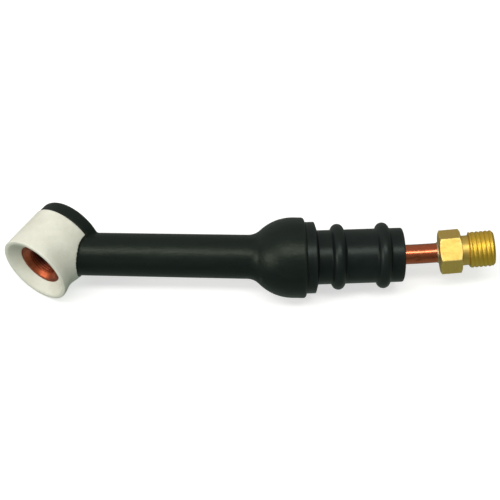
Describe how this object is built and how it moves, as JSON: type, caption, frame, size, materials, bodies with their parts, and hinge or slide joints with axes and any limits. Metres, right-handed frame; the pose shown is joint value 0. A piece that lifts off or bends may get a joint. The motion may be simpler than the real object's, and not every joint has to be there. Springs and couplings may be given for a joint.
{
  "type": "tig torch body",
  "caption": "Bare rigid TIG welding torch body: angled head with a white front insulator, long neck, bulb, ribbed handle spigot, copper tube and a brass hexagon fitting with a male thread.",
  "frame": {"origin": "centre of the handle seat, where the bulb's rear face meets the handle axis", "axes": "+X along the handle axis towards the cable thread, +Y towards the back cap's side, +Z square to the plane of the nozzle, neck and handle axes"},
  "size_m": [0.1641, 0.036, 0.027],
  "materials": {
    "white_insulator": "satin off-white moulding",
    "copper": "drawn and turned copper",
    "phenolic": "hard brown-black moulding",
    "black_rubber": "satin black silicone rubber",
    "black_moulding": "satin black hard moulding",
    "brass": "turned brass",
    "solder": "silver solder"
  },
  "bodies": {
    "root": {"front_insulator": "white_insulator", "head_barrel": "copper", "inner_moulding": "phenolic", "rubber_jacket": "black_rubber", "handle_spigot": "black_moulding", "conductor_tube": "copper", "head_braze": "solder", "cable_fitting": "brass", "fitting_braze": "solder"}
  },
  "joints": []
}
